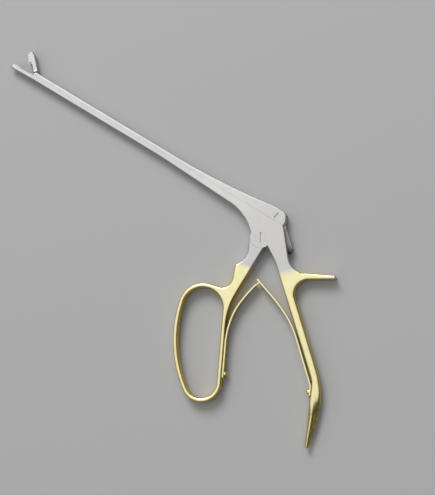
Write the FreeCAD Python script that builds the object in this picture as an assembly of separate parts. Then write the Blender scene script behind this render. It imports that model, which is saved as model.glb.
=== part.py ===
import FreeCAD, Part
import math
import os

# Cervical biopsy punch with a sliding shaft, lying on its side, in millimetres.
# The origin is where the main pivot's axis meets the flat side that it rests on.
# +X runs along the shaft from the jaws to the handles, +Y points from the finger
# loop up to the sliding shaft, and +Z points out of the side that faces up.
# Everything is drawn with the jaws open, which is how the springs hold it.

V = FreeCAD.Vector
os.makedirs("parts", exist_ok=True)

# Shaft
working_length = 206.0      # main pivot to the tip of the jaws
shaft_rise = 13.9           # main pivot up to the seam between the two bars
bar_height = 2.7            # each bar, across the seam
shaft_width = 5.0           # both bars, from side to side
slide_gap = 0.05            # between the two bars
taper_length = 85.0         # this far ahead of the pivot the shaft starts to grow
widening_length = 62.0      # and here it starts to get wider
widening_round = 500.0
widened_length = 16.5       # as wide as the head from here on
widened_round = 300.0
edge_round = 0.8            # outer edges of the head and the shaft
handle_round = 1.8          # edges of the rear handle, which grow rounder on the way down
tail_round = 1.2            # halfway down its tail
spur_round = 1.05           # edges of the spur
seam_round = 0.2            # edges along the seam

# Head
head_thickness = 8.0
lobe_radius = 6.7           # round cheeks about the main pivot
tongue_thickness = 3.0
tongue_gap = 0.1            # each side of the tongue in its slot
tongue_radius = 6.5         # round the main pivot
tongue_stop_end = (18.5, 2.5)      # rear end of the lobe's resting edge, and how round
tongue_tip = (21.4, 1.6)
tongue_tip_round = 1.2
tongue_rear_corner = (20.6, 5.0)
tongue_rear_round = 3.0
stop_depth = 1.1            # the lobe's resting edge, below the pivot's centre
stop_gap = 0.05
slot_front = 5.3            # front wall of the slot, ahead of the pivot
notch_turn = 188.0          # degrees, where the shaft's underside meets the lobe
vee_turn = 20.0             # degrees below +X, where the rear handle leaves the lobe

# Underside of the shaft, where it flares into the head
flare_corner = (-17.2, 8.4)
flare_round = 34.0
taper_round = 300.0

# Link between the lever and the sliding bar
link_arm = 17.2             # main pivot to link screw
link_boss = 3.2
boss_gap = 0.3              # above the boss, inside the sliding bar
link_slot_front = 4.2       # ahead of the main pivot
slider_crown = (-0.5, 21.9) # highest corner of the sliding bar
slider_crown_round = 10.0
slider_top_round = 500.0
slider_rear_corner = (6.2, 21.5)
slider_rear_round = 3.6
slider_rear = 8.6           # behind the main pivot
slider_step_height = 2.4    # upright part of the rear end, above the seam
slider_step_round = 3.0

# Jaws
jaw_length = 18.3           # jaw hinge to tip
jaw_opening = 45.0          # degrees
jaw_thickness = 2.6
jaw_width = 4.4
jaw_plan_round = 1.5        # corners of both tips, seen from above
jaw_edge_round = 0.5
jaw_seat = 0.3              # the lower jaw's face lies this far below the seam
jaw_gap = 0.12              # between the closed jaws
jaw_droop = 0.5             # the lower jaw's underside at its tip
jaw_neck = 2.5              # the full shaft width ends this far ahead of the hinge
lip_height = 0.4            # raised front lip of the lower jaw
lip_length = 4.6
nose_drop = 1.1             # slope on top of the upper jaw's tip
nose_length = 3.4
heel_reach = 3.3            # jaw hinge to the upper jaw's full-width heel
heel_gap = 0.2              # between the heel and the sliding bar
heel_round = 0.4
tang_width = 2.0
tang_gap = 0.06             # each side of the tang
tang_boss = 1.3             # round the hinge pin
tang_wall = 0.5             # metal round the drive pin's slot
tang_room = 0.5             # between the tang and the ends of the slots it swings in
cup_length = 7.7            # cutting cup, along the jaw
cup_depth = 2.75
cup_front_depth = 1.5
cup_bottom_round = 1.2
cup_width = 2.9
cup_wall = 0.4
cup_rear = 9.5              # jaw hinge to the back of the cup
cup_hole_radius = 0.8       # hole in the cup's side that faces up
cup_hole_place = 1.0        # behind which the cup's back wall lies
cup_gap = 0.2               # round the cup in the lower jaw's window
drive_rise = 2.75           # jaw hinge pin up to the drive pin

# Pins and screws
hinge_pin_radius = 0.75
drive_pin_radius = 0.7
pin_play = 0.05             # running fit of a pin or a screw's shank
seat_play = 0.02            # round a pin or screw in the piece that holds it
pivot_head_radius = 3.4
pivot_head_depth = 1.5
pivot_shank_radius = 2.4
pivot_thread_radius = 2.0
link_head_radius = 1.9
link_head_depth = 1.2
link_shank_radius = 1.3
link_thread_radius = 1.0
driver_slot_width = 0.7
driver_slot_depth = 0.7
pivot_slot_turn = 121.5     # degrees, as the screws were left
link_slot_turn = 80.0

# Guides under the sliding bar
lug_places = (150.0, 96.0, 44.0)   # ahead of the main pivot
lug_length = 6.0
lug_neck_width = 1.6
lug_neck_depth = 0.7
lug_foot_width = 3.0
lug_foot_depth = 0.7
lug_gap = 0.08
lug_end_gap = 0.4

# Rear handle: a straight run, a bend and a tail that tapers to a narrow end
handle_lean = 41.4          # degrees below the shaft's line
handle_width = 5.4
handle_start = (16.3, -8.3) # inner edge, where the straight run begins
handle_start_round = 30.0
handle_run = 78.3           # inner edge, to the corner of the bend
handle_bend = 14.0
tail_lean = 64.8
tail_run = 40.8             # from the corner of the bend
tail_tip_width = 2.4
tail_tip_round = 1.0
tail_tip_girth = 1.5        # radius that the round tail would taper to, just past its tip
tail_root_girth = 6.3       # and where its corners are whole again
tail_round_length = 40.0    # from its tip to there
handle_back_extra = 10.6    # the outer edge runs this much further than the inner one
handle_back_bend = 54.0

# Saddle and spur behind the head: corners and how round they are
head_rear_mid = (11.3, 10.7)
head_rear_round = 8.0
head_step = 0.2             # the sliding bar stands this far out over the head
saddle_corner = (27.8, -9.0)
saddle_round = 11.4
spur_top = (53.3, 4.1)
spur_under = (54.5, 2.0)
spur_tip_round = 1.15
spur_hollow_corner = (29.8, -13.0)
spur_hollow_round = 9.0

# Finger loop lever
loop_upper_centre = (-8.3, -57.0)
loop_upper_radius = 13.0
loop_lower_centre = (15.8, -97.0)
loop_lower_radius = 9.9
loop_side_radius = 76.0     # long bowed limb in front
loop_strap = 2.9
loop_round = 1.35
shoulder_gap = 0.08         # lever's shoulders to the lobe
shoulder_overlap = 0.6      # the stem is drawn this far into the lobe, then cut back
neck_reach = 2.0            # the tongue is let this far into the stem
front_turn = 191.0          # degrees, stem's front corner on the lobe
rear_turn = 331.0           # and its rear corner
shoulder_corner = (-5.9, -5.3)
shoulder_round = 3.0
front_hollow = (-0.4, -14.6)
front_hollow_round = 10.0
trigger_corner = (-4.9, -22.6)
trigger_low = (-4.6, -24.2)
trigger_round = 0.5
lower_hollow = (0.9, -38.3)
lower_hollow_round = 6.5
loop_join_turn = 104.0      # degrees round the loop, where the stem runs into it
stem_rear_round = 45.0
limb_cover = 18.0           # the stem overlaps the loop's straight limb

# Leaf springs
spring_thickness = 0.9
spring_width = 6.0
spring_end_round = 2.0
spring_seat_gap = 0.02
spring_tongue_width = 2.2
spring_tongue_length = 3.4
spring_fork_gap = 0.4       # each side of the tongue in the fork
spring_fork_length = 4.6
front_screw_place = 40.3    # along the loop's straight limb, from its upper end
front_spring_free = 20.0    # the spring leaves the limb here
front_spring_rise = ((11.1, -54.3), (10.2, -46.0), (10.9, -37.5), (12.2, -30.4))
front_spring_tip = (13.9, -23.6)
rear_screw_place = 6.2      # along the tail, from the corner of the bend
rear_spring_lift = 0.9      # clear of the handle over the bend
rear_spring_free = 42.0     # the spring leaves the handle here, along its run
rear_spring_rise = ((32.0, -30.0), (22.0, -26.6))
rear_spring_tip = (12.0, -23.5)
spring_end_length = 3.6     # spring past its screw
screw_head_radius = 1.8
screw_head_height = 2.2
screw_shank_radius = 0.9
screw_reach = 2.3           # into the strap or the handle
screw_slot_width = 0.5
screw_slot_depth = 0.45

# Worked out from the sizes above
seam_y = shaft_rise
bar_low = seam_y - bar_height
slider_low = seam_y + slide_gap
slider_high = seam_y + bar_height
mid_z = head_thickness / 2
tip_x = -working_length
hinge_x = tip_x + jaw_length
hinge_y = seam_y - bar_height / 2
hinge = (hinge_x, hinge_y)
half_opening = math.radians(jaw_opening / 2)
stroke = 2 * drive_rise * math.tan(half_opening)
drive = (hinge_x + stroke / 2, hinge_y + drive_rise)
drive_far = drive_rise / math.cos(half_opening)
lever_turn = 2 * math.asin(stroke / (2 * link_arm))
link = (stroke / 2, link_arm * math.cos(lever_turn / 2))
link_lift = link_arm - link[1]
shoulder_radius = lobe_radius + shoulder_gap
jaw_face = seam_y - jaw_seat
slider_front = hinge_x - heel_reach + stroke + heel_gap


def polar(radius, degrees, centre=(0, 0)):
    """The point at a distance and a direction from a centre."""
    turn = math.radians(degrees)
    return (centre[0] + radius * math.cos(turn), centre[1] + radius * math.sin(turn))


def step(point, degrees, distance):
    """The point reached by going a distance in one direction."""
    return polar(distance, degrees, point)


def crossing(point, degrees, other, other_degrees):
    """Where two lines meet, each given by a point and a direction."""
    a = math.radians(degrees)
    b = math.radians(other_degrees)
    dx = other[0] - point[0]
    dy = other[1] - point[1]
    run = (dx * math.sin(b) - dy * math.cos(b)) / math.sin(b - a)
    return (point[0] + run * math.cos(a), point[1] + run * math.sin(a))


def direction(start, end):
    return math.degrees(math.atan2(end[1] - start[1], end[0] - start[0]))


def outline(*corners):
    """A face inside a closed outline, from its corners and how round each one is."""
    edges = []
    last = None
    first = None
    for i, (x, y, radius) in enumerate(corners):
        here = V(x, y, 0)
        back = (V(*corners[i - 1][:2], 0) - here).normalize()
        ahead = (V(*corners[(i + 1) % len(corners)][:2], 0) - here).normalize()
        half = back.getAngle(ahead) / 2
        start = here + back * (radius / math.tan(half))
        end = here + ahead * (radius / math.tan(half))
        if last is None:
            first = start
        else:
            edges.append(Part.makeLine(last, start))
        if radius > 0:
            middle = here + (back + ahead).normalize() * (radius / math.sin(half) - radius)
            edges.append(Part.Arc(start, middle, end).toShape())
        last = end
    edges.append(Part.makeLine(last, first))
    return Part.Face(Part.Wire(edges))


def arc(start, middle, end):
    return Part.Arc(V(*start, 0), V(*middle, 0), V(*end, 0)).toShape()


def line(start, end):
    return Part.makeLine(V(*start, 0), V(*end, 0))


def belt(first, first_radius, second, second_radius):
    """The face inside a belt stretched round two circles."""
    along = direction(first, second)
    lean = math.degrees(math.acos((first_radius - second_radius) / math.dist(first, second)))
    first_left = polar(first_radius, along + lean, first)
    first_right = polar(first_radius, along - lean, first)
    second_left = polar(second_radius, along + lean, second)
    second_right = polar(second_radius, along - lean, second)
    return Part.Face(Part.Wire([
        arc(first_left, polar(first_radius, along + 180, first), first_right),
        line(first_right, second_right),
        arc(second_right, polar(second_radius, along, second), second_left),
        line(second_left, first_left),
    ]))


def slab(face, low, high):
    """A flat face made into a plate between two heights."""
    plate = face.extrude(V(0, 0, high - low))
    plate.translate(V(0, 0, low))
    return plate


def middle_slab(face, thickness):
    """A plate in the middle of the instrument's thickness."""
    return slab(face, mid_z - thickness / 2, mid_z + thickness / 2)


def rod(centre, radius, low, high):
    return Part.makeCylinder(radius, high - low, V(*centre, low))


def block(x_low, x_high, y_low, y_high, width):
    """A box across the middle of the instrument's thickness."""
    corner = V(x_low, y_low, mid_z - width / 2)
    return Part.makeBox(x_high - x_low, y_high - y_low, width, corner)


def slot(centre, degrees, length, width, low, high):
    """A round-ended slot; its end centres are a length apart."""
    first = step(centre, degrees, -length / 2)
    last = step(centre, degrees, length / 2)
    return slab(belt(first, width / 2, last, width / 2), low, high)


def across(edge):
    """Whether an edge runs straight from one side of the instrument to the other."""
    way = edge.tangentAt((edge.FirstParameter + edge.LastParameter) / 2)
    return abs(way.z) > 0.95


def soften(solid, radius, keep_sharp):
    """Round the long outer edges, apart from those that a test picks out."""
    edges = [e for e in solid.Edges if not across(e) and not keep_sharp(e)]
    return solid.makeFillet(radius, edges)


def soften_growing(solid, radius_at, keep_sharp):
    """The same with a rounding that changes along each edge, from vertex to vertex."""
    document = FreeCAD.newDocument()
    base = document.addObject("Part::Feature")
    base.Shape = solid
    rounded = document.addObject("Part::Fillet")
    rounded.Base = base
    rounded.Edges = [
        (number, radius_at(edge.firstVertex(True)), radius_at(edge.lastVertex(True)))
        for number, edge in enumerate(solid.Edges, 1)
        if not across(edge) and not keep_sharp(edge)
    ]
    document.recompute()
    return rounded.Shape.Solids[0]


def upright(edge):
    """Whether an edge runs straight up the page, as where two side faces meet."""
    way = edge.tangentAt((edge.FirstParameter + edge.LastParameter) / 2)
    return abs(way.y) > 0.999 and edge.BoundBox.XLength < 1e-6


def shaft_plan():
    """The whole width of the shaft and head from above: slim jaws, then the even
    shaft, then a slow widening to the head's full thickness."""
    jaw = jaw_width / 2
    bar = shaft_width / 2
    full = mid_z
    neck = hinge_x - jaw_neck
    swell = -widened_length
    side = [
        (tip_x, jaw, jaw_plan_round),
        (neck - jaw_neck, jaw, 4 * jaw_plan_round),
        (neck, bar, 4 * jaw_plan_round),
        (-widening_length, bar, widening_round),
        (swell, full, widened_round),
        (working_length, full, 0),
    ]
    corners = [(x, mid_z - half, r) for x, half, r in side]
    corners += [(x, mid_z + half, r) for x, half, r in reversed(side)]
    plan = outline(*corners).extrude(V(0, 0, 2 * working_length))
    plan.translate(V(0, 0, -working_length))
    plan.rotate(V(0, 0, 0), V(1, 0, 0), 90)
    return plan


def driver_slot(centre, degrees, radius, top, width, depth):
    """The screwdriver slot across a screw's head."""
    bar = Part.makeBox(2 * radius + 1, width, depth + 1, V(-radius - 0.5, -width / 2, top - depth))
    bar.rotate(V(0, 0, 0), V(0, 0, 1), degrees)
    bar.translate(V(*centre, 0))
    return bar


def stepped_hole(centre, head_radius, head_depth, shank_radius, thread_radius):
    """Room for a flush screw: its head and shank in the upper cheek, its thread below."""
    play = seat_play
    hole = rod(centre, thread_radius + play, -1, mid_z)
    hole = hole.fuse(rod(centre, shank_radius + play, mid_z, head_thickness))
    return hole.fuse(rod(centre, head_radius + play, head_thickness - head_depth - play, head_thickness + 1))


def flush_screw(centre, head_radius, head_depth, shank_radius, thread_radius, degrees):
    """A slotted shoulder screw with its head flush with the side that faces up."""
    shank_end = mid_z - tongue_thickness / 2 - tongue_gap
    screw = rod(centre, head_radius, head_thickness - head_depth, head_thickness)
    screw = screw.fuse(rod(centre, shank_radius, shank_end, head_thickness - head_depth))
    screw = screw.fuse(rod(centre, thread_radius, 0, shank_end))
    screw = screw.cut(driver_slot(centre, degrees, head_radius, head_thickness,
                                  driver_slot_width, driver_slot_depth))
    return screw


# Rear handle's corners, shared by the frame and the spring on it
bend_corner = step(handle_start, -handle_lean, handle_run)
tail_end = step(bend_corner, -tail_lean, tail_run)
tail_back = step(tail_end, 90 - tail_lean, tail_tip_width)
handle_back = step(handle_start, 90 - handle_lean, handle_width)
back_corner = step(handle_back, -handle_lean, handle_run + handle_back_extra)
rear_seat = step(bend_corner, -tail_lean, rear_screw_place)


def frame_outline():
    """The fixed forging from the side: lower bar, head, rear handle and spur."""
    return outline(
        (tip_x, bar_low - jaw_droop, 0),
        (hinge_x, bar_low, 0),
        (-taper_length, bar_low, taper_round),
        (*flare_corner, flare_round),
        (*polar(lobe_radius, notch_turn), 0),
        (*polar(lobe_radius, -vee_turn), 0),
        (*handle_start, handle_start_round),
        (*bend_corner, handle_bend),
        (*tail_end, tail_tip_round),
        (*tail_back, tail_tip_round),
        (*back_corner, handle_back_bend),
        (*spur_hollow_corner, spur_hollow_round),
        (*spur_under, spur_tip_round),
        (*spur_top, spur_tip_round),
        (*saddle_corner, saddle_round),
        (*head_rear_mid, head_rear_round),
        (slider_rear - head_step, seam_y, 0),
        (tip_x, seam_y, 0),
    )


def frame_round(vertex):
    """How round the frame's edges are at a point: most on the rear handle."""
    from_end = math.dist((vertex.X, vertex.Y), tail_end)
    if vertex.X > saddle_corner[0] + saddle_round and vertex.Y > spur_hollow_corner[1]:
        return spur_round
    if vertex.Y > spur_hollow_corner[1] or from_end < 2 * tail_tip_width:
        return edge_round
    if from_end < tail_run / 2:
        return tail_round
    return handle_round


def about_pivot(edge):
    """Whether an edge is the rim of the lobe, which lies level with the lever."""
    return (edge.Curve.TypeId == "Part::GeomCircle" and edge.Curve.Center.Length < 2 * head_thickness
            and abs(edge.Curve.Radius - lobe_radius) < 1e-6)


def tail_waste():
    """What is ground off the tail's four edges, so that it gets rounder towards its tip."""
    tip = V(*tail_end, mid_z) + (V(*tail_back, 0) - V(*tail_end, 0)) / 2
    root = V(*bend_corner, mid_z) + (V(*back_corner, 0) - V(*bend_corner, 0)) / 2
    along = (root - tip).normalize()
    start = tip - along * tail_tip_width
    length = tail_tip_width + tail_round_length
    cone = Part.makeCone(tail_tip_girth, tail_root_girth, length, start, along)
    return Part.makeCylinder(head_thickness, length, start, along).cut(cone)


def tongue_room():
    """The slot through the head that the lever's tongue turns in."""
    wide = tongue_thickness + 2 * tongue_gap
    floor = -stop_depth - stop_gap
    room = outline(
        (0, 0, 0),
        (0, floor, 0),
        (saddle_corner[0], floor, 0),
        (saddle_corner[0], seam_y + 1, 0),
        (-slot_front, seam_y + 1, 0),
        (-shoulder_radius, 0, 0),
    )
    low = mid_z - wide / 2
    return slab(room, low, low + wide).fuse(rod((0, 0), shoulder_radius, low, low + wide))


def guide_lug(place):
    """A T-shaped lug under the sliding bar, which keeps the two bars together."""
    neck_low = seam_y - lug_neck_depth
    x_low = -place - lug_length / 2
    x_high = -place + lug_length / 2
    neck = block(x_low, x_high, neck_low, slider_low + lug_neck_depth, lug_neck_width)
    foot = block(x_low, x_high, neck_low - lug_foot_depth, neck_low, lug_foot_width)
    return neck.fuse(foot)


def guide_way(place):
    """The T-shaped groove for a lug, with the window behind it where the lug goes in."""
    neck_low = seam_y - lug_neck_depth
    floor = neck_low - lug_foot_depth - lug_gap
    x_low = -place - lug_length / 2 - stroke - lug_end_gap
    x_high = -place + lug_length / 2 + lug_end_gap
    foot_wide = lug_foot_width + 2 * lug_gap
    groove = block(x_low, x_high, floor, seam_y + 1, lug_neck_width + 2 * lug_gap)
    groove = groove.fuse(block(x_low, x_high, floor, neck_low + lug_gap, foot_wide))
    window = block(x_high, x_high + lug_length + lug_end_gap, floor, seam_y + 1, foot_wide)
    return groove.fuse(window)


def cup_outline(inset):
    """The cutting cup from the side, jaws closed: deep at the back, shallow in front."""
    top = jaw_face + jaw_gap + jaw_thickness / 2
    back = hinge_x - cup_rear - inset
    front = hinge_x - cup_rear - cup_length + inset
    rim = jaw_face + jaw_gap - (cup_front_depth if inset == 0 else cup_depth + 1)
    return outline(
        (back, top - inset, 0),
        (front, top - inset, 0),
        (front, rim, 0 if inset else cup_bottom_round),
        (back, jaw_face + jaw_gap - cup_depth - inset, 0 if inset else cup_bottom_round),
    )


def fixed_frame():
    blank = slab(frame_outline(), 0, head_thickness)
    blank = blank.fuse(rod((0, 0), lobe_radius, 0, head_thickness)).removeSplitter()
    blank = blank.common(shaft_plan())
    blank = soften_growing(blank, frame_round, lambda e: upright(e) or about_pivot(e)
                           or e.BoundBox.YMin > seam_y - 1e-4)
    blank = blank.cut(tail_waste())
    # lower jaw: face below the seam, raised lip in front, window for the cutting cup
    jaw_rear = hinge_x - heel_reach
    blank = blank.cut(block(tip_x + lip_length, jaw_rear, jaw_face, seam_y + 1, head_thickness))
    blank = blank.cut(block(tip_x - 1, tip_x + lip_length, jaw_face + lip_height,
                            seam_y + 1, head_thickness))
    blank = blank.cut(block(hinge_x - cup_rear - cup_length - cup_gap, hinge_x - cup_rear + cup_gap,
                            0, seam_y + 1, cup_width + 2 * cup_gap))
    # fork for the upper jaw's tang
    blank = blank.cut(block(jaw_rear, hinge_x + tang_boss + 2 * tang_room,
                            0, seam_y + 1, tang_width + 2 * tang_gap))
    blank = blank.cut(rod(hinge, hinge_pin_radius + seat_play, -1, head_thickness + 1))
    for place in lug_places:
        blank = blank.cut(guide_way(place))
    blank = blank.cut(tongue_room())
    blank = blank.cut(stepped_hole((0, 0), pivot_head_radius, pivot_head_depth,
                                   pivot_shank_radius, pivot_thread_radius))
    return blank.cut(spring_screw_hole(rear_seat, -tail_lean))


def slider_outline():
    """The sliding bar from the side. Its front corner is sloped to clear the open jaw."""
    heel_low = step(hinge, direction(hinge, (hinge_x - heel_reach, jaw_face + jaw_gap)) - jaw_opening,
                    math.dist(hinge, (hinge_x - heel_reach, jaw_face + jaw_gap)))
    slope = step(heel_low, -jaw_opening, heel_gap)
    slope_low = crossing(slope, 90 - jaw_opening, (slider_front, 0), 90)
    slope_high = crossing(slope, 90 - jaw_opening, (0, slider_high), 0)
    rise_start = -taper_length / 2
    return outline(
        (slider_front, slider_low, 0),
        (slider_rear, slider_low, 0),
        (slider_rear, seam_y + slider_step_height, slider_step_round),
        (*slider_rear_corner, slider_rear_round),
        (*slider_crown, slider_crown_round),
        (rise_start, slider_high, slider_top_round),
        (*slope_high, 0),
        (*slope_low, 0),
    )


def sliding_shaft():
    blank = slab(slider_outline(), 0, head_thickness).common(shaft_plan())
    blank = soften(blank, edge_round, lambda e: upright(e) or e.BoundBox.YMax < slider_low + 1e-4)
    # fork for the upper jaw's tang, and the hole for its drive pin
    blank = blank.cut(block(slider_front - 1, hinge_x + stroke + tang_boss + tang_room,
                            0, 2 * seam_y, tang_width + 2 * tang_gap))
    blank = blank.cut(rod(drive, drive_pin_radius + seat_play, -1, head_thickness + 1))
    # slot for the lever's tongue, closed above like a hood
    blank = blank.cut(block(-link_slot_front, slider_rear + 1, 0, link[1] + link_boss + boss_gap,
                            tongue_thickness + 2 * tongue_gap))
    blank = blank.cut(stepped_hole(link, link_head_radius, link_head_depth,
                                   link_shank_radius, link_thread_radius))
    for place in lug_places:
        blank = blank.fuse(guide_lug(place))
    return blank


def upper_jaw():
    """Drawn closed on the lower jaw, then swung open about its hinge."""
    low = jaw_face + jaw_gap
    high = low + jaw_thickness
    heel_x = hinge_x - heel_reach
    step_x = tip_x + lip_length + jaw_gap
    arm = outline(
        (heel_x, low, 0),
        (heel_x, high, heel_round),
        (tip_x + nose_length, high, nose_length / 2),
        (tip_x, high - nose_drop, jaw_edge_round),
        (tip_x, low + lip_height, 0),
        (step_x, low + lip_height, 0),
        (step_x, low, 0),
    )
    jaw = slab(arm, 0, head_thickness).common(shaft_plan())
    jaw = soften(jaw, jaw_edge_round, lambda e: upright(e) or e.BoundBox.YMax < low + lip_height + 1e-4
                 or e.BoundBox.XMin > heel_x - 1e-4)
    # tang with the drive pin's slot in it
    pin_turn = 90 + jaw_opening / 2
    pin_far = polar(drive_far, pin_turn, hinge)
    boss = drive_pin_radius + pin_play + tang_wall
    tang = middle_slab(belt(hinge, tang_boss, pin_far, boss), tang_width)
    web = outline(
        (*polar(tang_boss, 90 + jaw_opening, (hinge_x, hinge_y - tang_boss)), 0),
        (heel_x + heel_gap, low, 0),
        (heel_x - heel_round, low, 0),
        (heel_x - heel_round, high - jaw_edge_round, 0),
        (*polar(boss, 135, pin_far), 0),
    )
    tang = tang.fuse(middle_slab(web, tang_width))
    jaw = jaw.fuse(tang)
    mean = polar((drive_rise + drive_far) / 2, pin_turn, hinge)
    jaw = jaw.cut(slot(mean, pin_turn, drive_far - drive_rise + pin_play,
                       2 * (drive_pin_radius + pin_play), 0, head_thickness))
    jaw = jaw.cut(rod(hinge, hinge_pin_radius + pin_play, 0, head_thickness))
    # hollow cutting cup
    jaw = jaw.fuse(middle_slab(cup_outline(0), cup_width))
    jaw = jaw.cut(middle_slab(cup_outline(cup_wall), cup_width - 2 * cup_wall))
    hole = (hinge_x - cup_rear - cup_hole_place, low - cup_depth / 2)
    jaw = jaw.cut(rod(hole, cup_hole_radius, mid_z, head_thickness))
    jaw.rotate(V(*hinge, 0), V(0, 0, 1), -jaw_opening)
    return jaw


def loop_outline(grow):
    """The finger loop's outline, offset outwards by a distance: two round ends, a
    bowed limb in front that runs into both, and a straight limb at the back."""
    upper = loop_upper_radius + grow
    lower = loop_lower_radius + grow
    side = loop_side_radius + grow
    span = math.dist(loop_upper_centre, loop_lower_centre)
    along = direction(loop_upper_centre, loop_lower_centre)
    back = along + math.degrees(math.acos((upper - lower) / span))
    back_top = polar(upper, back, loop_upper_centre)
    back_low = polar(lower, back, loop_lower_centre)
    # the bowed limb's centre lies at the right distance from both round ends
    near = side - upper
    far = side - lower
    reach = (near ** 2 - far ** 2 + span ** 2) / (2 * span)
    aside = math.sqrt(near ** 2 - reach ** 2)
    bow = step(polar(reach, along, loop_upper_centre), along + 90, aside)
    bow_upper = direction(bow, loop_upper_centre) % 360
    bow_lower = direction(bow, loop_lower_centre) % 360
    face = Part.Face(Part.Wire([
        arc(back_top, polar(upper, along + 180, loop_upper_centre), polar(side, bow_upper, bow)),
        arc(polar(side, bow_upper, bow), polar(side, (bow_upper + bow_lower) / 2, bow),
            polar(side, bow_lower, bow)),
        arc(polar(side, bow_lower, bow), polar(lower, along, loop_lower_centre), back_low),
        line(back_low, back_top),
    ]))
    return face, back_top, back_low


# The loop's straight limb, shared by the lever and the spring on it
loop_outer, limb_top, limb_low = loop_outline(loop_strap)
loop_inner, _, _ = loop_outline(0)
limb_turn = direction(limb_top, limb_low)
front_seat = step(limb_top, limb_turn, front_screw_place)


def stem_outline():
    """The lever's stem, from the pivot down into the finger loop."""
    inside = shoulder_radius - shoulder_overlap
    rear_top = polar(inside, rear_turn)
    return outline(
        (*rear_top, 0),
        (*polar(inside, front_turn), 0),
        (*shoulder_corner, shoulder_round),
        (*front_hollow, front_hollow_round),
        (*trigger_corner, trigger_round),
        (*trigger_low, trigger_round),
        (*lower_hollow, lower_hollow_round),
        (*polar(loop_upper_radius + loop_strap, loop_join_turn, loop_upper_centre), 0),
        (*loop_upper_centre, 0),
        (*step(limb_top, limb_turn, limb_cover), 0),
        (*crossing(rear_top, -90, limb_top, limb_turn), stem_rear_round),
    )


def finger_loop_lever():
    stem = stem_outline()
    body = stem.fuse(loop_outer).cut(loop_inner).removeSplitter()
    lever = slab(body, 0, head_thickness)
    lever = soften(lever, loop_round, upright)
    lever = lever.cut(rod((0, 0), shoulder_radius, -1, head_thickness + 1))
    # tongue: round the pivot, up to the link screw, back to the stop, down into the stem
    tongue = middle_slab(belt((0, 0), tongue_radius, link, link_boss), tongue_thickness)
    lobe = outline(
        (0, 0, 0),
        (0, -stop_depth, 0),
        (tongue_stop_end[0], -stop_depth, tongue_stop_end[1]),
        (*tongue_tip, tongue_tip_round),
        (*tongue_rear_corner, tongue_rear_round),
        (*polar(link_boss, 52, link), 0),
    )
    neck = middle_slab(stem, tongue_thickness).common(
        rod((0, 0), shoulder_radius + neck_reach, 0, head_thickness))
    tongue = tongue.fuse(middle_slab(lobe, tongue_thickness)).fuse(neck)
    lever = lever.fuse(tongue)
    lever = lever.cut(rod((0, 0), pivot_shank_radius + pin_play, 0, head_thickness))
    lever = lever.cut(slot(link, 90 - math.degrees(lever_turn) / 2, 2 * link_lift,
                           2 * (link_shank_radius + pin_play), 0, head_thickness))
    return lever.cut(spring_screw_hole(front_seat, limb_turn))


def facing(solid, point, degrees):
    """Stand a turned piece on a point, with its axis in one direction of the plane."""
    way = V(math.cos(math.radians(degrees)), math.sin(math.radians(degrees)), 0)
    solid.Placement = FreeCAD.Placement(V(*point, mid_z), FreeCAD.Rotation(V(0, 0, 1), way))
    return solid


def seat_normal(seat_turn):
    """The direction out of a spring's seat, into the space between the handles."""
    return seat_turn + 90 if seat_turn == limb_turn else seat_turn - 90


def spring_screw_hole(seat, seat_turn):
    """The hole for a spring's screw, through the spring and into what carries it."""
    depth = screw_reach + seat_play
    hole = Part.makeCylinder(screw_shank_radius + seat_play, depth + 2 * spring_thickness,
                             V(0, 0, -depth))
    return facing(hole, seat, seat_normal(seat_turn))


def spring_screw(seat, seat_turn):
    """A small domed screw, whose head holds the spring against its seat."""
    base = spring_seat_gap + spring_thickness + spring_seat_gap
    rim = V(screw_head_radius, 0, base)
    crown = V(0, 0, base + screw_head_height)
    side = V(screw_head_radius * 0.75, 0, base + screw_head_height * 0.72)
    profile = Part.Wire([
        Part.makePolygon([crown, V(0, 0, -screw_reach), V(screw_shank_radius, 0, -screw_reach),
                          V(screw_shank_radius, 0, base), rim]),
        Part.Arc(rim, side, crown).toShape(),
    ])
    screw = Part.Face(profile).revolve(V(0, 0, 0), V(0, 0, 1), 360)
    screw = screw.cut(driver_slot((0, 0), 90, screw_head_radius, base + screw_head_height,
                                  screw_slot_width, screw_slot_depth))
    return facing(screw, seat, seat_normal(seat_turn))


def leaf(end, points):
    """A leaf of even thickness: straight from its screwed end to the first point,
    then a smooth curve through the others."""
    straight = (V(*points[0], 0) - V(*end, 0)).normalize()
    curve = Part.BSplineCurve()
    curve.interpolate([V(*p, 0) for p in points], InitialTangent=straight)
    ways = [curve.tangent(curve.parameter(V(*p, 0)))[0] for p in points]
    edges = []
    ends = []
    for offset in (spring_thickness / 2, -spring_thickness / 2):
        side = [V(p[0] - w.y * offset, p[1] + w.x * offset, 0) for p, w in zip(points, ways)]
        start = V(end[0] - straight.y * offset, end[1] + straight.x * offset, 0)
        bowed = Part.BSplineCurve()
        bowed.interpolate(side, InitialTangent=straight)
        edges += [Part.makeLine(start, side[0]), bowed.toShape()]
        ends.append((start, side[-1]))
    (left_start, left_end), (right_start, right_end) = ends
    edges += [Part.makeLine(left_start, right_start), Part.makeLine(left_end, right_end)]
    face = Part.Face(Part.Wire(Part.__sortEdges__(edges)))
    return middle_slab(face, spring_width)


def round_end(spring, end):
    """Round the corners of the spring's screwed end."""
    corners = [e for e in spring.Edges
               if abs(e.Length - spring_thickness) < 1e-3 and math.dist(e.CenterOfMass[:2], end) < 0.1]
    return spring.makeFillet(spring_end_round, corners)


def on_seat(start, turn, place, lift):
    """A point of a spring's middle line, over a straight seat."""
    return step(step(start, turn, place), seat_normal(turn), spring_thickness / 2 + lift)


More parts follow.
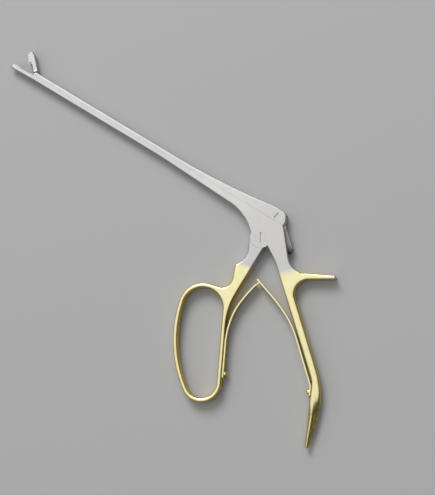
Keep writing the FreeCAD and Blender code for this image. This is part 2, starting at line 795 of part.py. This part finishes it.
def front_leaf_spring():
    """Screwed to the loop's limb; its tongue reaches through the rear spring's fork."""
    end = on_seat(limb_top, limb_turn, front_screw_place + spring_end_length, spring_seat_gap)
    points = [
        on_seat(limb_top, limb_turn, front_spring_free, spring_seat_gap),
        *front_spring_rise,
        front_spring_tip,
    ]
    spring = leaf(end, points)
    shoulder = front_spring_tip[1] - spring_tongue_length
    beside = block(0, 2 * front_spring_tip[0], shoulder, 0, 2 * spring_width)
    beside = beside.cut(block(0, 2 * front_spring_tip[0], shoulder, 0, spring_tongue_width))
    spring = round_end(spring.cut(beside), end)
    return spring.cut(spring_screw_hole(front_seat, limb_turn))


def rear_leaf_spring():
    """Screwed to the rear handle's tail; its forked end straddles the front spring."""
    end = on_seat(bend_corner, -tail_lean, rear_screw_place + spring_end_length, spring_seat_gap)
    run = -handle_lean
    points = [
        on_seat(bend_corner, -tail_lean, rear_screw_place - spring_end_length, spring_seat_gap),
        on_seat(handle_start, run, handle_run - rear_screw_place, rear_spring_lift),
        on_seat(handle_start, run, (handle_run + rear_spring_free) / 2, rear_spring_lift),
        on_seat(handle_start, run, rear_spring_free, 1.5 * rear_spring_lift),
        *rear_spring_rise,
        rear_spring_tip,
    ]
    spring = leaf(end, points)
    fork = block(rear_spring_tip[0] - 1, rear_spring_tip[0] + spring_fork_length,
                 rear_spring_tip[1] - spring_fork_length, 0,
                 spring_tongue_width + 2 * spring_fork_gap)
    spring = round_end(spring.cut(fork), end)
    return spring.cut(spring_screw_hole(rear_seat, -tail_lean))


def rivet(centre, radius):
    """A plain pin, as long as the shaft is wide."""
    return rod(centre, radius, mid_z - shaft_width / 2, mid_z + shaft_width / 2)


NODES = {
    "fixed_frame": fixed_frame,
    "sliding_shaft": sliding_shaft,
    "upper_jaw": upper_jaw,
    "finger_loop_lever": finger_loop_lever,
    "jaw_hinge_pin": lambda: rivet(hinge, hinge_pin_radius),
    "jaw_drive_pin": lambda: rivet(drive, drive_pin_radius),
    "main_pivot_screw": lambda: flush_screw((0, 0), pivot_head_radius, pivot_head_depth,
                                            pivot_shank_radius, pivot_thread_radius,
                                            pivot_slot_turn),
    "link_screw": lambda: flush_screw(link, link_head_radius, link_head_depth,
                                      link_shank_radius, link_thread_radius, link_slot_turn),
    "front_leaf_spring": front_leaf_spring,
    "rear_leaf_spring": rear_leaf_spring,
    "front_spring_screw": lambda: spring_screw(front_seat, limb_turn),
    "rear_spring_screw": lambda: spring_screw(rear_seat, -tail_lean),
}

for name, make in NODES.items():
    solid = make().removeSplitter()
    solid.exportStep("parts/" + name + ".step")
    print("%-20s %d solid, %8.1f mm3, valid %s"
          % (name, len(solid.Solids), solid.Volume, solid.isValid()), flush=True)

print("jaw hinge at x %.3f y %.3f, opening %.1f degrees" % (hinge_x, hinge_y, jaw_opening))
print("stroke %.4f mm, lever turns %.4f degrees" % (stroke, math.degrees(lever_turn)))
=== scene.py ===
# %% [markdown]
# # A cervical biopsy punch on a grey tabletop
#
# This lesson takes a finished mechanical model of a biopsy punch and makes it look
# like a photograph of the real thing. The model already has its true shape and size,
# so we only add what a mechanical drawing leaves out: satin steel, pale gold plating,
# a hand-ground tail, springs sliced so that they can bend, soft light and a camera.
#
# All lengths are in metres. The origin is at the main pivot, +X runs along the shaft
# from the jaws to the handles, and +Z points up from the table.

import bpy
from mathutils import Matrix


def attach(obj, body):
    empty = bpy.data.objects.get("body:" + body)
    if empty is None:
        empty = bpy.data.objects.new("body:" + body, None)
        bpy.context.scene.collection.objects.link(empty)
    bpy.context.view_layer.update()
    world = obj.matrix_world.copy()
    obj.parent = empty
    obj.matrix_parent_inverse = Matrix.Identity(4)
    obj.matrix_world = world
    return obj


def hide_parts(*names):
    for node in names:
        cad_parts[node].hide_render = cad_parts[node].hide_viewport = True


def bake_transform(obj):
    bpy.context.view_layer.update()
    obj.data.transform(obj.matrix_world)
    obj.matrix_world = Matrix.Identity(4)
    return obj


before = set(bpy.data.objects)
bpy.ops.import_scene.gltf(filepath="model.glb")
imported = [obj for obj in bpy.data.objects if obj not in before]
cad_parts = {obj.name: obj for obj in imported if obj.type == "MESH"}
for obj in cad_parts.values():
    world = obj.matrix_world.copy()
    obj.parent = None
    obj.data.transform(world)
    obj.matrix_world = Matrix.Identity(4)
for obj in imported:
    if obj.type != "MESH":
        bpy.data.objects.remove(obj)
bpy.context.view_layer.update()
print("pieces:", ", ".join(sorted(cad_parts)))

# %% [markdown]
# ## Small tools
#
# Drawings of instruments are in millimetres, so `MM` turns them into metres.

# %% Modules and units
import math

import bmesh
import bpy
from mathutils import Matrix, Vector

MM = 0.001
UP = Vector((0, 0, 1))
print("one millimetre is", MM, "metres")

# %% [markdown]
# A material is a small network of nodes. `add` makes one node: its settings are
# keywords, and `inputs` holds numbers, or outputs of other nodes to connect.


# %% A helper that adds one shader node
def add(tree, kind, inputs=None, **settings):
    """Add a shader node, set it up, and fill or connect its inputs."""
    node = tree.nodes.new("ShaderNode" + kind)
    for name, value in settings.items():
        setattr(node, name, value)
    for name, value in (inputs or {}).items():
        if isinstance(value, bpy.types.NodeSocket):
            tree.links.new(value, node.inputs[name])
        else:
            node.inputs[name].default_value = value
    return node


print("add is ready")

# %% [markdown]
# ## What the metals have in common
#
# Every surface needs three things that change slowly or quickly over it: its colour,
# how rough it is, and a fine relief. They depend on where a point lies on the
# instrument, in metres. `place_of` gives that as X, Y and Z, for a finish that
# changes along a piece. `noise` gives soft random grains of a given size: the
# texture's scale is how many of them fit in a metre, so 1000 for grains of 1 mm.
# Painted images could do the same, but they blur up close and need a flat layout of
# every piece.


# %% Place and noise
def place_of(tree):
    """The X, Y and Z of the shaded point, each as an output to connect."""
    place = add(tree, "TexCoord").outputs["Object"]
    return add(tree, "SeparateXYZ", {"Vector": place}).outputs


def noise(tree, size, detail=3.0):
    """Noise with grains of about this size in metres."""
    place = add(tree, "TexCoord").outputs["Object"]
    return add(tree, "TexNoise", {"Vector": place, "Scale": 1 / size, "Detail": detail,
                                  "Roughness": 0.55}).outputs["Fac"]


print("place_of and noise are ready")

# %% [markdown]
# Noise mostly stays between 0.35 and 0.65. `between` stretches that part, or any
# other, to the numbers that a finish needs, and `tint` does the same with two colours.
# Both could be done with a colour ramp, but a ramp hides its numbers in a widget.
# A `Mix` node has a set of sockets for each kind of data, all with the same names, so
# `mix` picks them by their number.

# %% From noise to numbers and colours
MIX_SOCKETS = {"RGBA": (6, 7, 2), "FLOAT": (2, 3, 0)}


def mix(tree, factor, first, second, kind="RGBA"):
    """Go from the first to the second as the factor goes from 0 to 1."""
    first_socket, second_socket, result = MIX_SOCKETS[kind]
    inputs = {"Factor": factor, first_socket: first, second_socket: second}
    return add(tree, "Mix", inputs, data_type=kind).outputs[result]


def between(tree, factor, low, high, start=0.35, end=0.65):
    """Turn a factor into a number between low and high."""
    return add(tree, "MapRange", {"Value": factor, "From Min": start, "From Max": end,
                                  "To Min": low, "To Max": high}).outputs["Result"]


def tint(tree, factor, first, second, start=0.35, end=0.65):
    """Mix two colours by a factor."""
    even = between(tree, factor, 0.0, 1.0, start, end)
    return mix(tree, even, (*first, 1), (*second, 1))


print("mix, between and tint are ready")

# %% [markdown]
# A metal is one Principled shader with `Metallic` at 1. The fine relief goes in as a
# bump, and a small `Bevel` in front of it rounds off the knife edges that a drawing
# leaves, as a polishing wheel does. Its radius is `POLISHED_EDGE`, unless `edge_of`
# gives one that changes along the piece.

# %% A metal from a colour, a roughness and a relief
POLISHED_EDGE = 0.12 * MM


def metal(name, colour_of, roughness_of, relief_of, relief_depth, edge_of=None):
    """Make a metal from functions that give its colour, roughness, relief and edge radius."""
    material = bpy.data.materials.new(name)
    material.use_nodes = True
    tree = material.node_tree
    shader = tree.nodes["Principled BSDF"]
    shader.inputs["Metallic"].default_value = 1.0
    radius = edge_of(tree) if edge_of else POLISHED_EDGE
    edges = add(tree, "Bevel", {"Radius": radius}, samples=8)
    bump = add(tree, "Bump", {"Height": relief_of(tree), "Normal": edges.outputs["Normal"],
                              "Strength": 1.0, "Distance": relief_depth})
    tree.links.new(colour_of(tree), shader.inputs["Base Color"])
    tree.links.new(roughness_of(tree), shader.inputs["Roughness"])
    tree.links.new(bump.outputs["Normal"], shader.inputs["Normal"])
    return material


print("metal is ready")

# %% [markdown]
# ## Satin steel
#
# Surgical steel is blasted with fine glass beads so that it doesn't glare under the
# lamp. Up close it has an even grain of about a tenth of a millimetre. Its tone
# drifts from a cool, dimmer grey at the jaws to a warmer one at the handles: that
# drift is painted light, standing in for dimmer, cooler light at the jaws and warmer
# light at the handles. A tint along X gives that drift. Alone it would look painted,
# so noise moves it to and fro by up to 25 mm, as faint clouds.

# %% Colour, roughness and relief of satin steel
# The step from the cool to the warm steel colour is painted light.
STEEL_COOL = (0.482, 0.488, 0.504)
STEEL_WARM = (0.54, 0.533, 0.52)
COOL_AT = -190 * MM
WARM_AT = -40 * MM
CLOUD_SHIFT = 25 * MM


def steel_colour(tree):
    """Cool, dimmer grey at the jaws and warmer at the handles as painted light, with clouds."""
    clouds = between(tree, noise(tree, 9 * MM), -CLOUD_SHIFT, CLOUD_SHIFT)
    along = add(tree, "Math", {0: place_of(tree)["X"], 1: clouds}, operation="ADD")
    return tint(tree, along.outputs["Value"], STEEL_COOL, STEEL_WARM, COOL_AT, WARM_AT)


def steel_roughness(tree):
    """Nearly even, a little glossier in patches."""
    return between(tree, noise(tree, 5 * MM), 0.50, 0.56)


def steel_relief(tree):
    """The grain that the glass beads leave."""
    return noise(tree, 0.12 * MM, detail=2.0)


satin_steel = metal("satin_steel", steel_colour, steel_roughness, steel_relief, 0.006 * MM)
print("made", satin_steel.name)

# %% [markdown]
# ## Pale gold plating
#
# The plating is thin and shiny and lies on steel that was polished by hand, so its
# relief is broader: soft waves of a few millimetres, with no grain.
#
# Plated gold looks pale on the flat faces and deeper on slopes and side walls, where
# light goes from gold to gold before it reaches the eye and less light falls. A few
# bounces in the render give only part of that. So the colour also follows the Z of the
# surface's normal, which is 1 on a flat face and 0 on a side wall: the deeper, darker
# colour there is painted shade.

# %% Colour, roughness and relief of the plating
# The deep colour is painted shade on slopes and side walls.
GOLD_PALE = (0.95, 0.875, 0.50)
GOLD_DEEP = (0.70, 0.54, 0.13)
DEEP_BELOW = 0.68
PALE_ABOVE = 0.97


def gold_colour(tree):
    """Pale where the surface is level, deeper and darker where it slopes: painted shade."""
    way = add(tree, "NewGeometry").outputs["Normal"]
    upward = add(tree, "SeparateXYZ", {"Vector": way}).outputs["Z"]
    level = add(tree, "Math", {0: upward}, operation="ABSOLUTE").outputs["Value"]
    uneven = between(tree, noise(tree, 7 * MM), -0.05, 0.05)
    both = add(tree, "Math", {0: level, 1: uneven}, operation="ADD").outputs["Value"]
    return tint(tree, both, GOLD_DEEP, GOLD_PALE, DEEP_BELOW, PALE_ABOVE)


def gold_roughness(tree):
    """Shinier than the steel."""
    return between(tree, noise(tree, 3 * MM), 0.30, 0.37)


def gold_relief(tree):
    """The soft waves that polishing by hand leaves."""
    return noise(tree, 3.5 * MM, detail=0.0)


pale_gold = metal("pale_gold", gold_colour, gold_roughness, gold_relief, 0.04 * MM)
print("made", pale_gold.name)

# %% [markdown]
# ## Steel that turns to gold
#
# Both handles were dipped in the plating bath only so far. `dipped` makes a material
# that is steel on one side of a slanting line and gold on the other, with a soft,
# slightly ragged border. The line is given by a point on it and the direction in
# which the gold lies. The two metals could be two materials on separate faces, but
# then the border would be sharp and follow the faces. `over` may paint one more
# colour over the result, and `edge_of` goes on to `metal`.

# %% A half-plated metal
RAGGED = 1.2 * MM


def dipped(name, point, towards_gold, border=1.6 * MM, over=None, edge_of=None):
    """Make a metal that is steel before a slanting line and gold beyond it."""
    towards = Vector((*towards_gold, 0)).normalized()
    middle = towards.dot(Vector((*point, 0))) + RAGGED / 2

    def share(tree):
        place = add(tree, "TexCoord").outputs["Object"]
        along = add(tree, "VectorMath", {0: place, 1: towards}, operation="DOT_PRODUCT")
        ragged = add(tree, "Math", {0: noise(tree, 2 * MM), 1: RAGGED,
                                    2: along.outputs["Value"]}, operation="MULTIPLY_ADD")
        return between(tree, ragged.outputs["Value"], 0.0, 1.0, middle - border, middle + border)

    def colour(tree):
        plated = mix(tree, share(tree), steel_colour(tree), gold_colour(tree))
        return over(tree, plated) if over else plated

    def roughness(tree):
        return mix(tree, share(tree), steel_roughness(tree), gold_roughness(tree), "FLOAT")

    def relief(tree):
        return mix(tree, share(tree), steel_relief(tree), gold_relief(tree), "FLOAT")

    return metal(name, colour, roughness, relief, 0.02 * MM, edge_of)


print("dipped is ready")

# %% [markdown]
# The tail of the rear handle rests in the palm, and its edges are ground much rounder
# than the others. So the radius of its `Bevel` grows from `POLISHED_EDGE` to
# `GROUND_EDGE` on the way down.
#
# The line of the frame's plating slants, because the handle went into the bath by its
# end: the border lies square to the handle, just behind the head.

# %% Dip the rear handle
GROUND_EDGE = 0.9 * MM
GROUND_BELOW = -72 * MM
POLISHED_ABOVE = -48 * MM


def rounder_tail(tree):
    """An edge radius that grows down the tail."""
    height = place_of(tree)["Y"]
    return between(tree, height, GROUND_EDGE, POLISHED_EDGE, GROUND_BELOW, POLISHED_ABOVE)


frame_metal = dipped("frame_metal", (26.2 * MM, -10.4 * MM), (0.741, -0.672), border=2.6 * MM,
                     edge_of=rounder_tail)
print("made", frame_metal.name)

# %% [markdown]
# The lever's tongue comes out behind the head as a small lobe. It isn't plated. It lies
# lower than the head, so it gets a painted shade of dark grey, and a painted shadow,
# nearly black, at its lower end. The tint goes up along Y, and two masks keep it behind
# the head and above the handles, so that the finger loop stays gold.

# %% Dip the lever
# The grey is painted shade from the head and the black is painted shadow.
TONGUE_SHADOW_BLACK = (0.01, 0.01, 0.01)
TONGUE_SHADE_GREY = (0.24, 0.24, 0.235)
BLACK_AT = 1.0 * MM
GREY_AT = 6 * MM
BEHIND_HEAD = (9.5 * MM, 10.5 * MM)
ABOVE_HANDLES = (-1.6 * MM, -1.3 * MM)


def painted_tongue_shade(tree, plated):
    """Paint shade on the lobe of the tongue over the plated colour: grey, and a black shadow at
    its lower end.
    """
    place = place_of(tree)
    painted_shade = tint(tree, place["Y"], TONGUE_SHADOW_BLACK, TONGUE_SHADE_GREY, BLACK_AT, GREY_AT)
    behind = between(tree, place["X"], 0.0, 1.0, *BEHIND_HEAD)
    above = between(tree, place["Y"], 0.0, 1.0, *ABOVE_HANDLES)
    both = add(tree, "Math", {0: behind, 1: above}, operation="MULTIPLY").outputs["Value"]
    return mix(tree, both, plated, painted_shade)


lever_metal = dipped("lever_metal", (0.0 * MM, -21.2 * MM), (0.269, -0.963), over=painted_tongue_shade)
print("made", lever_metal.name)

# %% [markdown]
# ## Dress the pieces
#
# Each piece gets its metal. The pieces keep the shape that the model gives them. Only
# three are stood in for by copies, in the next steps: the frame, for its ground tail,
# and the two leaf springs, so that they can bend.

# %% One metal for each piece
METALS = {
    "fixed_frame": frame_metal,
    "finger_loop_lever": lever_metal,
    "sliding_shaft": satin_steel,
    "upper_jaw": satin_steel,
    "jaw_hinge_pin": satin_steel,
    "jaw_drive_pin": satin_steel,
    "main_pivot_screw": satin_steel,
    "link_screw": satin_steel,
    "front_leaf_spring": pale_gold,
    "rear_leaf_spring": pale_gold,
    "front_spring_screw": pale_gold,
    "rear_spring_screw": pale_gold,
}
for name, material in METALS.items():
    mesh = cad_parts[name].data
    mesh.materials.clear()
    mesh.materials.append(material)
print(len(METALS), "pieces have their metal")

# %% [markdown]
# ## Copy and slice
#
# A drawing's flat faces become few, large mesh faces, which can't take a new form. So
# each copy is sliced by planes first: that adds points exactly where they are needed
# and leaves the shape as it is. A subdivision would add far more of them, everywhere.


# %% Tools for a copy
def copy_of(node, name):
    """A new object with a copy of a node's mesh."""
    piece = bpy.data.objects.new(name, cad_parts[node].data.copy())
    bpy.context.scene.collection.objects.link(piece)
    return piece


def cut(shape, geometry, place, way):
    """Cut this part of a shape with the plane through place that faces way."""
    bmesh.ops.bisect_plane(shape, geom=geometry, dist=1e-7, plane_co=place, plane_no=way)


def whole(shape):
    """All that a shape is made of."""
    return shape.verts[:] + shape.edges[:] + shape.faces[:]


print("copy_of, cut and whole are ready")

# %% [markdown]
# ## The tail's ridge
#
# The end of the rear handle is ground by hand: a narrow ridge runs down it near its
# inner side, and from there it falls away in a slope. That slope is too free a form
# for a drawing, so it is shaped here, on a copy of the frame. The tail is measured by
# its root, its tip and its width at both. The ridge's place is a share of the half
# width, counted from the middle, where minus is the inner side.

# %% Measures of the tail
TAIL_ROOT = Vector((80.0, -62.0, 4.0)) * MM
TAIL_TIP = Vector((93.5, -96.5, 4.0)) * MM
ROOT_HALF_WIDTH = 4.2 * MM
TIP_HALF_WIDTH = 1.3 * MM
RIDGE = -0.25
tail = TAIL_TIP - TAIL_ROOT
across_tail = UP.cross(tail.normalized())
print("the slope starts", round(tail.length / MM), "mm before the tip")

# %% [markdown]
# The tail gets slices across it and strips along it. The strips narrow with the tail,
# so each of their planes runs from a point at the root to one at the tip. Only faces
# beyond the root are cut, because those planes would go on through the whole handle.


# %% Slice the tail
def beyond_root(shape):
    """The faces that lie wholly beyond the tail's root, with their edges and points."""
    geometry = {}
    for face in shape.faces:
        if all((vertex.co - TAIL_ROOT).dot(tail) > -1e-6 for vertex in face.verts):
            geometry.update(dict.fromkeys([face, *face.verts, *face.edges]))
    return list(geometry)


def slice_tail(shape, slices=30, strips=11):
    """Cut the tail crosswise into slices, and lengthwise into strips."""
    cut(shape, whole(shape), TAIL_ROOT, tail)
    for i in range(1, slices):
        cut(shape, beyond_root(shape), TAIL_ROOT + tail * (i / slices), tail)
    for i in range(strips):
        share = 2 * (i + 1) / (strips + 1) - 1
        root = TAIL_ROOT + across_tail * ROOT_HALF_WIDTH * share
        tip = TAIL_TIP + across_tail * TIP_HALF_WIDTH * share
        cut(shape, beyond_root(shape), root, UP.cross(tip - root))


print("slice_tail is ready")

# %% [markdown]
# Each point then moves towards the middle of the tail's thickness, by a share of its
# height above or below it. On the outer side that share grows to `OUTER_FALL` in a
# rounded curve, on the inner side evenly to `INNER_FALL`. Both fade in down the tail,
# over a part of it that `FADE` gives, and the inner side starts later. Points only
# move inwards, so none leaves the frame's own solid.

# %% Press the slope down
OUTER_FALL = 0.72
OUTER_CURVE = 1.45
INNER_FALL = 0.60
INNER_DELAY = 0.5
FADE = 0.36


def soft_step(share):
    """Go from 0 to 1 without a kink at either end."""
    share = min(1.0, max(0.0, share))
    return share * share * (3 - 2 * share)


def fall_at(down, sideways):
    """The share of its height that a point loses, from how far down and sideways it is."""
    half_width = ROOT_HALF_WIDTH + (TIP_HALF_WIDTH - ROOT_HALF_WIDTH) * down
    from_ridge = sideways / half_width - RIDGE
    if from_ridge > 0:
        outer = min(1.0, from_ridge / (1 - RIDGE)) ** OUTER_CURVE
        return OUTER_FALL * soft_step(down / FADE) * outer
    inner = min(1.0, -from_ridge / (1 + RIDGE))
    return INNER_FALL * soft_step(down / FADE - INNER_DELAY) * inner


print("halfway down, the outer edge loses", round(fall_at(0.5, 2.75 * MM), 2), "of its height")

# %% [markdown]
# The copy stands in for the frame and moves with it.

# %% The frame with its ridge
ridged_frame = copy_of("fixed_frame", "frame_with_ridge")
shape = bmesh.new()
shape.from_mesh(ridged_frame.data)
slice_tail(shape)
for vertex in shape.verts:
    offset = vertex.co - TAIL_ROOT
    down = offset.dot(tail) / tail.length_squared
    if down > 0:
        vertex.co.z = TAIL_ROOT.z + offset.z * (1 - fall_at(down, offset.dot(across_tail)))
shape.to_mesh(ridged_frame.data)
shape.free()
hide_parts("fixed_frame")
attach(ridged_frame, "frame")
print("tail sliced and pressed:", len(ridged_frame.data.vertices), "points")

# %% [markdown]
# ## Leaf springs, sliced for bending
#
# The two leaf springs are the only pieces that change shape in use. Each is screwed
# down at one end, and where they meet, both move half as far as the finger loop does.
# A chain of stiff pieces would show its joints. So we copy each leaf and slice it
# crosswise so that it has enough points to bend.


# %% Copy and slice a leaf
def bending_leaf(node, fixed_body, other_body, leaves_at, tip, slices=40):
    """Copy a leaf and slice it crosswise from where it leaves its handle to its tip, both given
    in mm.
    """
    leaf = copy_of(node, node + "_bending")
    leaves_at = Vector(leaves_at) * MM
    along = Vector(tip) * MM - leaves_at
    shape = bmesh.new()
    shape.from_mesh(leaf.data)
    for i in range(slices):
        cut(shape, whole(shape), leaves_at + along * (i / slices), along)
    shape.to_mesh(leaf.data)
    shape.free()
    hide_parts(node)
    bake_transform(leaf)
    print(node, "bends from", fixed_body, "towards", other_body)


bending_leaf("front_leaf_spring", "lever", "frame",
             (15.0, -67.5, 4.0), (13.9, -23.6, 4.0))
bending_leaf("rear_leaf_spring", "frame", "lever",
             (47.8, -36.1, 4.0), (12.0, -23.5, 4.0))

# %% [markdown]
# ## The table
#
# A plain, pale grey sheet that is much larger than the view. It is matt, so that the
# instrument casts a shadow on it but no reflection.

# %% Table top
TABLE_GREY = (0.409, 0.410, 0.413)
bpy.ops.mesh.primitive_plane_add(size=6, location=(0, 0, 0))
table = bpy.context.object
table.name = "table"
table_matt = bpy.data.materials.new("table_matt")
table_matt.use_nodes = True
table_shader = table_matt.node_tree.nodes["Principled BSDF"]
table_shader.inputs["Base Color"].default_value = (*TABLE_GREY, 1)
table_shader.inputs["Roughness"].default_value = 0.75
table.data.materials.append(table_matt)
print("table laid")

# %% [markdown]
# ## Light
#
# One broad lamp, high up and far off to the upper left of the picture, gives the soft
# shadows that fall to the lower right. Nearer by, it would glare on the shaft's tip
# and leave the handles dim.

# %% One broad lamp
LAMP_PLACE = Vector((-1.70, 1.40, 2.15))
LAMP_TARGET = Vector((-0.03, -0.03, 0.0))
light = bpy.data.lights.new("key_lamp", "AREA")
light.shape = "DISK"
light.size = 1.6
light.energy = 56
lamp = bpy.data.objects.new("key_lamp", light)
lamp.location = LAMP_PLACE
lamp.rotation_euler = (LAMP_TARGET - LAMP_PLACE).to_track_quat("-Z", "Y").to_euler()
bpy.context.scene.collection.objects.link(lamp)
print("the lamp is", round((LAMP_TARGET - LAMP_PLACE).length, 1), "metres away")

# %% [markdown]
# Metal shows its surroundings, so the room matters as much as the lamp. A ceiling with
# windows could be modelled, but a sky whose brightness depends on the direction alone
# does the same. It is brightest around `BRIGHTEST`, overhead and leaning to the left,
# and nearly dark towards the horizon. That gives the flat faces their light tone, and
# every rounded edge a bright side and a dark one.
#
# `CEILING` lists how bright the sky is at a few steps of nearness to that direction,
# from 0 at right angles to 1 straight on. The ramp comes with two stops of its own,
# the first and the last, and they go again.

# %% A pale room
BRIGHTEST = Vector((-0.36, 0.03, 0.94)).normalized()
CEILING = ((0.34, 0.04), (0.46, 0.18), (0.62, 0.81))
world = bpy.data.worlds.new("pale_room")
world.use_nodes = True
room = world.node_tree
sky = add(room, "TexCoord").outputs["Generated"]
nearness = add(room, "VectorMath", {0: sky, 1: BRIGHTEST}, operation="DOT_PRODUCT")
ceiling = add(room, "ValToRGB", {"Fac": nearness.outputs["Value"]})
stops = ceiling.color_ramp.elements
for nearness_there, brightness in CEILING:
    stop = stops.new(nearness_there)
    stop.color = (brightness, brightness, brightness, 1)
stops.remove(stops[-1])
stops.remove(stops[0])
background = room.nodes["Background"]
background.inputs["Color"].default_value = (1, 1, 1, 1)
room.links.new(ceiling.outputs["Color"], background.inputs["Strength"])
bpy.context.scene.world = world
print("the room is", world.name, "with", len(stops), "stops")

# %% [markdown]
# ## Camera
#
# The photographer stood almost above the instrument, 0.9 m away and leaning 13
# degrees towards the handles, with the camera turned so that the shaft runs down the
# picture from its upper left corner. The camera's own axes follow from those angles:
# `back` points at the photographer, `level` lies across the table, and turning `level`
# gives the picture's `right` and `up`.

# %% Camera
LEAN = math.radians(13)
TURN = math.radians(31.52)
DISTANCE = 0.9
LOOK_AT = Vector((-0.02126, -0.01955, 0.004))
back = Vector((math.sin(LEAN), 0, math.cos(LEAN)))
level = Vector((math.cos(LEAN), 0, -math.sin(LEAN)))
right = math.cos(TURN) * level + math.sin(TURN) * Vector((0, 1, 0))
up = back.cross(right)
stand = LOOK_AT + DISTANCE * back
lens = bpy.data.cameras.new("camera")
lens.sensor_fit = "HORIZONTAL"
lens.sensor_width = 36
lens.lens = 116.97
camera = bpy.data.objects.new("camera", lens)
camera.matrix_world = Matrix([(right.x, up.x, back.x, stand.x),
                              (right.y, up.y, back.y, stand.y),
                              (right.z, up.z, back.z, stand.z),
                              (0, 0, 0, 1)])
bpy.context.scene.collection.objects.link(camera)
bpy.context.scene.camera = camera
bpy.context.scene.view_settings.view_transform = "Standard"
print("camera at", [round(c, 3) for c in stand])
